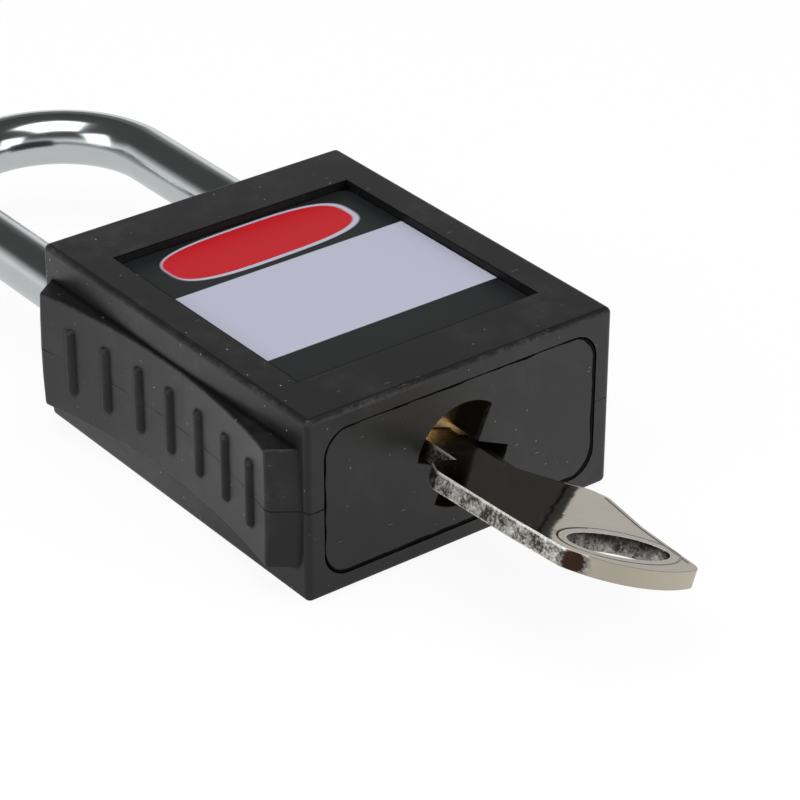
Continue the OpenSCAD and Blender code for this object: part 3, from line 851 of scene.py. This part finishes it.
def make_brass(name, colour, depth_mm):
    material, tree, shader = start_material(name, Metallic=1.0)
    shade, grain = place(tree, surface_grain, Grain_mm=0.12, Patch_mm=3.0)
    [rings] = place(tree, turning_rings, Height_m=AXIS_Z, Pitch_mm=0.14)
    # Painted shade on the lower half of the brass.
    above = (xyz(tree)[2] - SHADE_BELOW) * (0.6 * TO_MM)
    shaded_low = (0.6 - (above + shade * 0.5)).clamp()
    base = paint(blend(shade, tinted(colour, 0.82), tinted(colour, 1.1)), (shaded_low * 0.85, BRASS_SHADE))
    join(shader, rings + grain, depth_mm, Base_Color=base, Roughness=grain * 0.2 + 0.2)
    return material


def make_grey_metal(name, colour, grain_mm, rough, depth_mm):
    material, tree, shader = start_material(name, Metallic=1.0)
    shade, grain = place(tree, surface_grain, Grain_mm=grain_mm, Patch_mm=5.0)
    specks, scratches = place(tree, handling_marks, Spacing_mm=2.0, Speck=0.05, Share=0.4, Scratch=0.006)
    base = paint(blend(shade, tinted(colour, 0.8), tinted(colour, 1.1)), (specks * 0.6, grey(0.15)))
    join(shader, grain - scratches, depth_mm, Base_Color=base, Roughness=grain * 0.25 + rough)
    return material


lock_brass = make_brass("lock_brass", (0.88, 0.66, 0.32), depth_mm=0.004)
plug_brass = make_brass("plug_brass", (0.9, 0.68, 0.34), depth_mm=0.004)
wafer_brass = make_brass("wafer_brass", (0.78, 0.56, 0.25), depth_mm=0.002)
frame_casting = make_grey_metal("frame_casting", (0.5, 0.5, 0.49), grain_mm=0.5, rough=0.35, depth_mm=0.03)
cam_casting = make_grey_metal("cam_casting", (0.48, 0.48, 0.47), grain_mm=0.4, rough=0.3, depth_mm=0.02)
bolt_steel = make_grey_metal("bolt_steel", (0.56, 0.56, 0.57), grain_mm=0.15, rough=0.2, depth_mm=0.003)
spring_steel = make_grey_metal("spring_steel", (0.52, 0.52, 0.54), grain_mm=0.1, rough=0.22, depth_mm=0.002)

# %% [markdown]
# ## Eased edges and round corners
#
# Easing puts a bevel on every edge that is sharper than a given angle. Where three rounded edges of a box
# meet, the CAD solid has a mitre, and a mould has a ball. The corners are first cut into fine slices, so that
# there are enough points, and then each point beyond the three rounds' centre lines is drawn in to one
# radius from the point where they cross.

# %% Functions that ease edges and corners
BALL_SLICES = (0, 0.25, 0.5, 0.7, 0.87)


def ease(bm, corner, width_mm, segments, chosen=lambda spot: True):
    edges = [e for e in bm.edges if len(e.link_faces) == 2 and e.calc_face_angle(0) > math.radians(corner)]
    edges = [e for e in edges if chosen((e.verts[0].co + e.verts[1].co) / 2)]
    bmesh.ops.bevel(bm, geom=edges, offset=width_mm * MM, segments=segments, affect="EDGES", profile=0.5,
                    clamp_overlap=True)


def round_corners(bm, radius):
    middle = Vector((0, 0, AXIS_Z))
    inner = [shell_high[0] - radius, shell_high[1] - radius, AXIS_Z - radius]
    for axis, sign, share in product(range(3), (-1, 1), BALL_SLICES):
        cut = middle.copy()
        cut[axis] += sign * (inner[axis] + share * radius)
        across = Vector([float(axis == number) for number in range(3)])
        bmesh.ops.bisect_plane(bm, geom=bm.verts[:] + bm.edges[:] + bm.faces[:], dist=0.001 * MM,
                               plane_co=cut, plane_no=across)
    for vert in bm.verts:
        off = vert.co - middle
        beyond = Vector([abs(off[axis]) - inner[axis] for axis in range(3)])
        if min(beyond) > 0 and beyond.length > radius:
            beyond *= radius / beyond.length
            drawn_in = [math.copysign(inner[axis] + beyond[axis], off[axis]) for axis in range(3)]
            vert.co = middle + Vector(drawn_in)


print("edge functions ready")

# %% [markdown]
# ## A finished copy of a CAD solid
#
# The CAD mesh is made of loose triangles. A copy of it is merged, its flat faces are joined again, and its
# sharp edges get a small bevel, because no moulded or pressed edge is perfectly sharp and the bevel is what
# catches the light. Chosen edges can get a wider one first. Smooth shading with weighted normals keeps the
# flats flat and the rounds round. The finished copy then stands for the CAD node and rides on its body.

# %% Functions for a finished copy
MERGE_WITHIN = 0.0005 * MM
FLAT_WITHIN = math.radians(0.3)
SHARP_FROM = math.radians(40)
WIDE_SEGMENTS = 3


def finished_copy(cad_node, name, width_mm, segments=2, corner=30, wide_mm=0, wide_where=None, ball=0):
    mesh = nodes[cad_node].data.copy()
    mesh.name = name
    mesh.materials.clear()
    piece = new_object(name, mesh)
    bm = bmesh.new()
    bm.from_mesh(mesh)
    bmesh.ops.remove_doubles(bm, verts=bm.verts, dist=MERGE_WITHIN)
    bmesh.ops.dissolve_limit(bm, angle_limit=FLAT_WITHIN, verts=bm.verts, edges=bm.edges)
    if ball:
        round_corners(bm, ball)
    if wide_mm:
        ease(bm, corner, wide_mm, WIDE_SEGMENTS, wide_where)
    ease(bm, corner, width_mm, segments)
    bm.to_mesh(mesh)
    bm.free()
    for face in mesh.polygons:
        face.use_smooth = True
    mesh.set_sharp_from_angle(angle=SHARP_FROM)
    piece.modifiers.new("even_normals", "WEIGHTED_NORMAL").keep_sharp = True
    piece.data = plain_mesh(piece)
    piece.modifiers.clear()
    return piece


def plain_mesh(thing):
    graph = bpy.context.evaluated_depsgraph_get()
    return bpy.data.meshes.new_from_object(thing.evaluated_get(graph))


def dress(piece, body, material, slot, *replaced):
    piece.data.materials.clear()
    piece.data.materials.append(material)
    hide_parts(*replaced)
    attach(piece, body)
    print(piece.name, "has", len(piece.data.polygons), "faces")


print("copy functions ready")

# %% [markdown]
# ## Even shading on the dished grip
#
# The CAD mesh follows the grip's wide cylinder in flat strips. Where the strips meet the ribs they become
# long thin faces, and those would show as faint lines. The true normal of a cylinder is known at each point:
# on a hollow face it points to the axis. So each corner of the face is given its true normal.

# %% Function for a dished face's own normals
def aim_at_axis(mesh):
    strips = dish_strips(mesh)
    normals = [tuple(corner.vector) for corner in mesh.corner_normals]
    changed = 0
    for face in strips:
        aim = Vector((dish_axis_x - face.center.x, -face.center.y, 0))
        if abs(aim.length - dish_radius) < 0.05 * MM and aim.normalized().dot(face.normal) > 0.998:
            changed += 1
            for corner in face.loop_indices:
                spot = mesh.vertices[mesh.loops[corner].vertex_index].co
                normals[corner] = tuple(Vector((dish_axis_x - spot.x, -spot.y, 0)).normalized())
    mesh.normals_split_custom_set(normals)
    print("aimed", changed, "of", len(strips), "strips at the dish's axis")


# %% [markdown]
# ## Shell and bottom cover
#
# The shell carries the label field, the dished grip and its ribs, and the cover closes the end round the
# keyhole. Both come from the CAD solids, with a bevel of a tenth of a millimetre on the edges that the
# mould leaves almost sharp, and a wider one on the border of the grip.

# %% Shell and cover
EDGE_ROUND = 0.7 * MM


def on_grip_border(spot):
    beside_ribs = abs(spot.z - AXIS_Z) < 5.2 * MM and abs(spot.y) < 19 * MM
    return spot.x < -19.4 * MM and not beside_ribs


shell = finished_copy("body_shell", "moulded_shell", width_mm=0.1, wide_mm=0.3, wide_where=on_grip_border,
                      ball=EDGE_ROUND)
aim_at_axis(shell.data)
dress(shell, "housing", shell_nylon, "shell_nylon", "body_shell")
cover = finished_copy("bottom_cover", "keyhole_cover", width_mm=0.08)
dress(cover, "housing", cover_nylon, "cover_nylon", "bottom_cover")

# %% [markdown]
# ## Shackle and key
#
# The shackle's bar is a long smooth round, so its copy only needs its notch edges eased. The key is blanked
# from sheet, so every edge has a small round from tumbling.

# %% Shackle and key
bar = finished_copy("shackle", "bent_shackle", width_mm=0.12)
dress(bar, "shackle", shackle_steel, "shackle_steel", "shackle")
key = finished_copy("key", "cut_key", width_mm=0.28, segments=3, corner=35)
dress(key, "key", key_nickel, "key_nickel", "key")

# %% [markdown]
# ## Springs from a rule
#
# A coil spring follows a rule: a point goes round an axis and moves along it evenly, and a wire follows the
# point. Geometry Nodes can write that rule once, with named inputs, and serve both the two latch springs and
# the five wafer springs. The closed end turns of the real springs are made by giving the rise a pause at
# each end.

# %% Geometry Nodes tree for a coil spring
WIRE_STEPS = 240
WIRE_SIDES = 10
END_PAUSE = 0.04

coil_spring = tree = bpy.data.node_groups.new("coil_spring", "GeometryNodeTree")
for label in ("Radius", "Wire", "Length", "Turns"):
    add_socket(tree, label, "INPUT")
add_socket(tree, "Finish", "INPUT", "Material")
add_socket(tree, "Geometry", "OUTPUT", "Geometry")
given = tree.nodes.new("NodeGroupInput").outputs
radius, wire, length, turns, finish = [Wire(given[number]) for number in range(5)]
step = node(tree, "GeometryNodeInputIndex") / (WIRE_STEPS - 1.0)
angle = step * turns * (2 * math.pi)
rise = (smooth_step(step, END_PAUSE, 1 - END_PAUSE) * 0.5 + step * 0.5) * (length - wire) + wire * 0.5
spot = node(tree, "ShaderNodeCombineXYZ", X=rise, Y=angle.math("COSINE", angle) * radius,
            Z=angle.math("SINE", angle) * radius)
line = node(tree, "GeometryNodeMeshLine", Count=WIRE_STEPS)
bent = node(tree, "GeometryNodeSetPosition", Geometry=line, Position=spot)
curve = node(tree, "GeometryNodeMeshToCurve", Mesh=bent)
profile = node(tree, "GeometryNodeCurvePrimitiveCircle", Resolution=WIRE_SIDES, Radius=wire * 0.5)
tube = node(tree, "GeometryNodeCurveToMesh", Curve=curve, Profile_Curve=profile, Fill_Caps=True)
real = node(tree, "GeometryNodeRealizeInstances", Geometry=tube)
finished = node(tree, "GeometryNodeSetMaterial", Geometry=real, Material=finish)
feed(tree.nodes.new("NodeGroupOutput").inputs["Geometry"], finished)
print("made", coil_spring.name)

# %% [markdown]
# ## Laying a spring in its place
#
# The tree's inputs are set by each socket's identifier before the object is evaluated. The result becomes a
# plain mesh, and only then is it moved to its place, so that the object itself stays at the origin.

# %% Function that makes one spring
def spring_mesh(name, material, spot, **sizes):
    holder = new_object(name, bpy.data.meshes.new(name))
    rule = holder.modifiers.new("coil", "NODES")
    rule.node_group = coil_spring
    for item in coil_spring.interface.items_tree:
        if item.in_out == "INPUT":
            rule[item.identifier] = material if item.name == "Finish" else sizes[item.name]
    mesh = plain_mesh(holder)
    bpy.data.objects.remove(holder)
    mesh.transform(spot)
    for face in mesh.polygons:
        face.use_smooth = True
    return mesh


print("spring function ready")

# %% [markdown]
# ## The two latch springs
#
# Each spring sits between a bolt's head and a wall in the frame, and the bolt presses it together when the
# key turns. Its length and radius are read from the box of the CAD spring that it stands for.

# %% Latch springs
LATCH_WIRE = 0.4 * MM
for side, turn in (("left", math.pi), ("right", 0)):
    low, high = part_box("latch_spring_" + side)
    inner, outer = sorted((low[0], high[0]), key=abs)
    middle = ((low[1] + high[1]) / 2, (low[2] + high[2]) / 2)
    spot = Matrix.Translation((inner, *middle)) @ Matrix.Rotation(turn, 4, "Z")
    mesh = spring_mesh("latch_coil_" + side, spring_steel, spot, Wire=LATCH_WIRE, Turns=4.5,
                       Length=abs(outer - inner), Radius=(high[2] - low[2] - LATCH_WIRE) / 2)
    coil = new_object(mesh.name, mesh)
    dress(coil, "housing", spring_steel, "spring_steel", "latch_spring_" + side)
    "latch_" + side + "_slide"
    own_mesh(coil)

# %% [markdown]
# ## The five wafer springs
#
# Each wafer is pushed by a spring of wire no thicker than a few hairs. All five ride on the plug, so they are
# one mesh. Each is turned with the key's plane and centred in the box of its CAD spring.

# %% Wafer springs
WAFER_COIL = {"Wire": 0.16 * MM, "Turns": 6, "Length": 3.2 * MM, "Radius": 0.36 * MM}
wafer_numbers = range(1, 6)
coils = bmesh.new()
for number in wafer_numbers:
    low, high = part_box(f"wafer_spring_{number}")
    centre = (Vector(low) + Vector(high)) / 2
    spot = Matrix.Translation(centre) @ Matrix.Rotation(-KEY_TILT, 4, "Y")
    spot = spot @ Matrix.Translation((-WAFER_COIL["Length"] / 2, 0, 0))
    coils.from_mesh(spring_mesh("coil", spring_steel, spot, **WAFER_COIL))
mesh = bpy.data.meshes.new("wafer_coils")
coils.to_mesh(mesh)
coils.free()
wafer_coils = new_object("wafer_coils", mesh)
wafer_springs = [f"wafer_spring_{number}" for number in wafer_numbers]
dress(wafer_coils, "plug", spring_steel, "spring_steel", *wafer_springs)

# %% [markdown]
# ## Cylinder and plug
#
# Their brass ends are what glints at the bottom of the keyhole, so both get a finished copy with a crisp
# small bevel and smooth round walls.

# %% Cylinder and plug
housing_brass = finished_copy("lock_cylinder", "brass_cylinder", width_mm=0.12)
dress(housing_brass, "housing", lock_brass, "lock_brass", "lock_cylinder")
turning_brass = finished_copy("plug", "brass_plug", width_mm=0.08)
dress(turning_brass, "plug", plug_brass, "plug_brass", "plug")

# %% [markdown]
# ## Materials on the pieces that stay
#
# The label and the inner pieces keep their CAD meshes, because their shapes are right as they are. Each is
# given its material through the object's own slot, which leaves the mesh untouched.

# %% Materials for the CAD nodes that stay
finishes = {"label": label_film, "lock_frame": frame_casting, "cam_shaft": cam_casting,
            "plug_ring": spring_steel, "latch_bolt_left": bolt_steel, "latch_bolt_right": bolt_steel,
            "heel_pin": bolt_steel, "cylinder_pin": bolt_steel}
finishes.update({f"wafer_{number}": wafer_brass for number in wafer_numbers})
for name, material in finishes.items():
    for slot in nodes[name].material_slots:
        slot.link = "OBJECT"
        slot.material = material
print("finished", len(finishes), "CAD nodes")

# %% [markdown]
# ## A white room
#
# The lock is shown on white. The world is white to the camera. In reflections it is pale near the horizon and
# dim overhead, like a white sweep under a dark ceiling, and that is what gives polished metal its dark band.
# It lights the rest at a plain level.

# %% World
HORIZON, OVERHEAD = 0.92, 0.07
SWEEP_FROM, SWEEP_TO = 0.12, 0.5
PLAIN_LIGHT = 0.35


def seen_and_mirrored(tree):
    path = tree.nodes.new("ShaderNodeLightPath").outputs
    kinds = "Camera", "Glossy", "Transmission"
    seen, glossy, through = [Wire(path[f"Is {kind} Ray"]) for kind in kinds]
    return seen, largest(glossy, through)


world = bpy.data.worlds.new("white_room")
bpy.context.scene.world = world
world.use_nodes = True
background = world.node_tree.nodes["Background"]
background.inputs["Color"].default_value = (1, 1, 1, 1)
upward = xyz(world.node_tree, "Generated")[2]
ceiling = smooth_step(upward, SWEEP_FROM, SWEEP_TO, HORIZON, OVERHEAD)
seen, mirrored = seen_and_mirrored(world.node_tree)
strength = (ceiling - PLAIN_LIGHT) * mirrored + PLAIN_LIGHT
feed(background.inputs["Strength"], (1 - strength) * seen + strength)
print("made", world.name)

# %% [markdown]
# ## A pale floor
#
# The floor is a plain sheet a hair below the lock. To the camera and in reflections it is mostly a plain
# glow, so that it runs into the white of the world without a horizon. Enough of its lit surface is left to
# keep the lock's soft shadow. In reflections it is greyer, and greyer still on the camera's side, where the
# camera stands before the light.

# %% Floor
FLOOR_HALF, FLOOR_Z = 1.5, -0.00005
FLOOR_GLOW, MIRRORED_GLOW, CAMERA_SHADE = 1.02, 0.76, 0.3
CAMERA_SIDE = (-0.65, -0.76, 0)

floor_material, tree, shader = start_material("pale_floor", Roughness=0.9, Specular_IOR_Level=0.1)
feed(shader.inputs["Base Color"], blend(noise(tree, 6), grey(0.86), grey(0.88)))
outward = vector_math("NORMALIZE", coordinates(tree), (0, 0, 0), "Vector")
card = vector_math("DOT_PRODUCT", outward, CAMERA_SIDE).ramp(2.0, -1.0)
seen, mirrored = seen_and_mirrored(tree)
strength = mirrored * (card * -CAMERA_SHADE + MIRRORED_GLOW - FLOOR_GLOW) + FLOOR_GLOW
glow = node(tree, "ShaderNodeEmission", Strength=strength)
share = (seen * 0.9 + mirrored * 0.95).clamp()
mixed = tree.nodes.new("ShaderNodeMixShader")
for socket, value in zip(mixed.inputs, (share, Wire(shader.outputs[0]), glow)):
    feed(socket, value)
feed(tree.nodes["Material Output"].inputs["Surface"], Wire(mixed.outputs[0]))
corners = [(x * FLOOR_HALF, y * FLOOR_HALF, FLOOR_Z) for x, y in ((-1, -1), (1, -1), (1, 1), (-1, 1))]
sheet = bpy.data.meshes.new("pale_floor")
sheet.from_pydata(corners, [], [(0, 1, 2, 3)])
sheet.materials.append(floor_material)
floor = new_object("pale_floor", sheet)
print("made", floor.name)

# %% [markdown]
# ## Soft lamps
#
# Black plastic shows its shape by what it mirrors, so the lamps are large and soft. One hangs over the label,
# one stands to the left for the grip, and a weak one on the right opens up the end with the keyhole.

# %% Lamps
def soft_lamp(name, where, size, power):
    data = bpy.data.lights.new(name, "AREA")
    data.shape = "RECTANGLE"
    data.size, data.size_y = size, size
    data.energy = power
    lamp = new_object(name, data)
    target = Vector((0, 0, AXIS_Z))
    lamp.location = where
    lamp.rotation_euler = (target - Vector(where)).to_track_quat("-Z", "Y").to_euler()
    print(name, "at", where, power, "W")


soft_lamp("lamp_above", (-0.1, -0.1, 0.6), size=0.5, power=2.1)
soft_lamp("lamp_left", (-0.6, 0.1, 0.3), size=0.4, power=1.1)
soft_lamp("lamp_front", (0.3, -0.6, 0.3), size=0.4, power=1.1)

# %% [markdown]
# ## Finish
#
# The view transform stays plain, so that colours render about as they are written.

# %% Finish
bpy.context.scene.view_settings.view_transform = "Standard"
